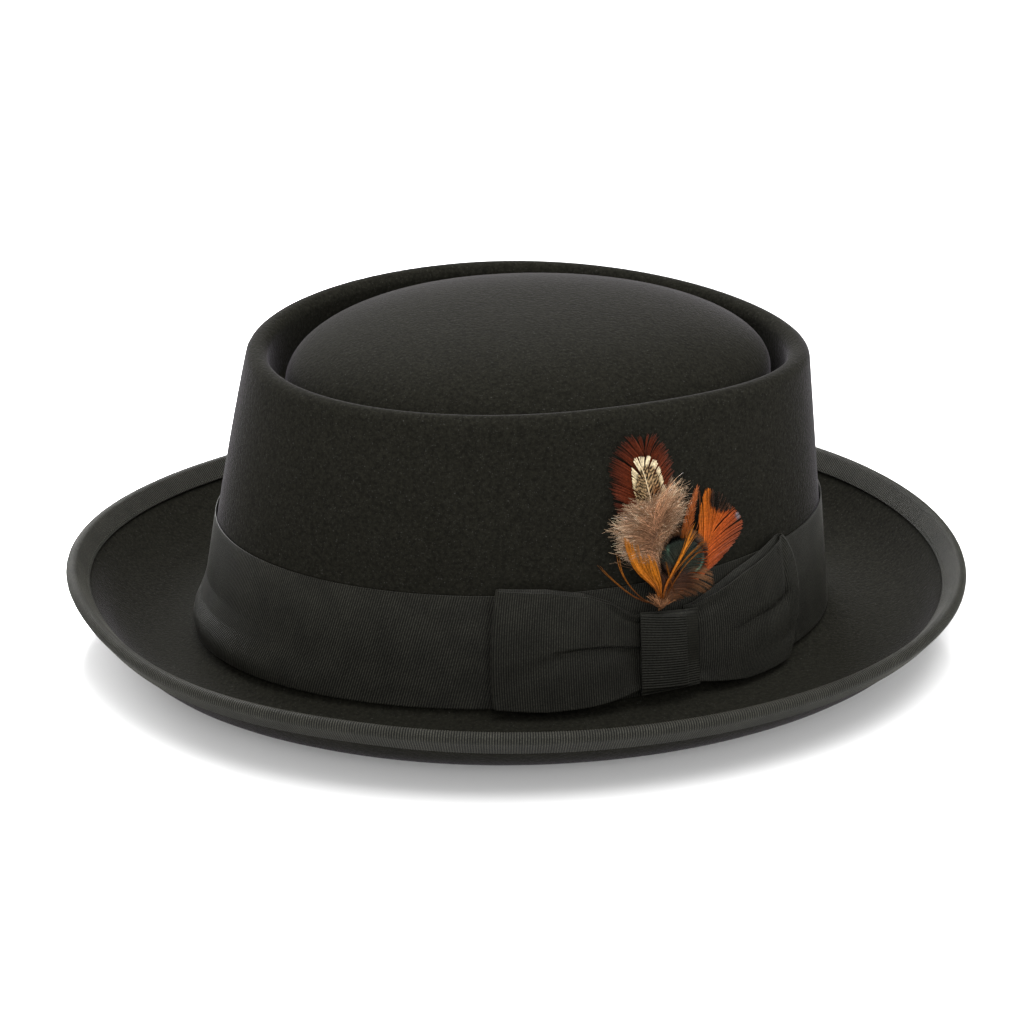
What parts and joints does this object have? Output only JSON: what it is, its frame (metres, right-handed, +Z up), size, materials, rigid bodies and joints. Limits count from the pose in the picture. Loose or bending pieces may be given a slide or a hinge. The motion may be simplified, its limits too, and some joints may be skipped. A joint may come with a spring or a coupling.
{
  "type": "porkpie hat",
  "caption": "Black felt porkpie hat with a domed telescope crown, an upturned ribbon-bound brim, a ribbon band with a flat side bow and a small bunch of feathers.",
  "frame": {"origin": "middle of the hat's length and width, on the surface it rests on", "axes": "+X from the front of the hat to its back, +Y towards the wearer's right, +Z up; the bow and feathers face -Y"},
  "size_m": [0.2874, 0.2794, 0.1075],
  "materials": {
    "felt": "matte, fuzzy nap",
    "binding_ribbon": "satin, finely ribbed",
    "band_ribbon": "satin, ribbed",
    "bow_ribbon": "satin, ribbed",
    "russet_feather": "satin",
    "orange_feather": "satin",
    "cream_feather": "satin",
    "down_feather": "matte, downy",
    "gold_feather": "satin",
    "green_feather": "iridescent"
  },
  "bodies": {
    "root": {"felt_body": "felt", "brim_binding": "binding_ribbon", "hat_band": "band_ribbon", "bow_loop_front": "bow_ribbon", "bow_loop_back": "bow_ribbon", "bow_knot": "bow_ribbon", "feather_russet": "russet_feather", "feather_orange_spike": "orange_feather", "feather_orange_fan": "orange_feather", "feather_cream": "cream_feather", "feather_down": "down_feather", "feather_gold_left": "gold_feather", "feather_green": "green_feather", "feather_gold_right": "gold_feather"}
  },
  "joints": []
}
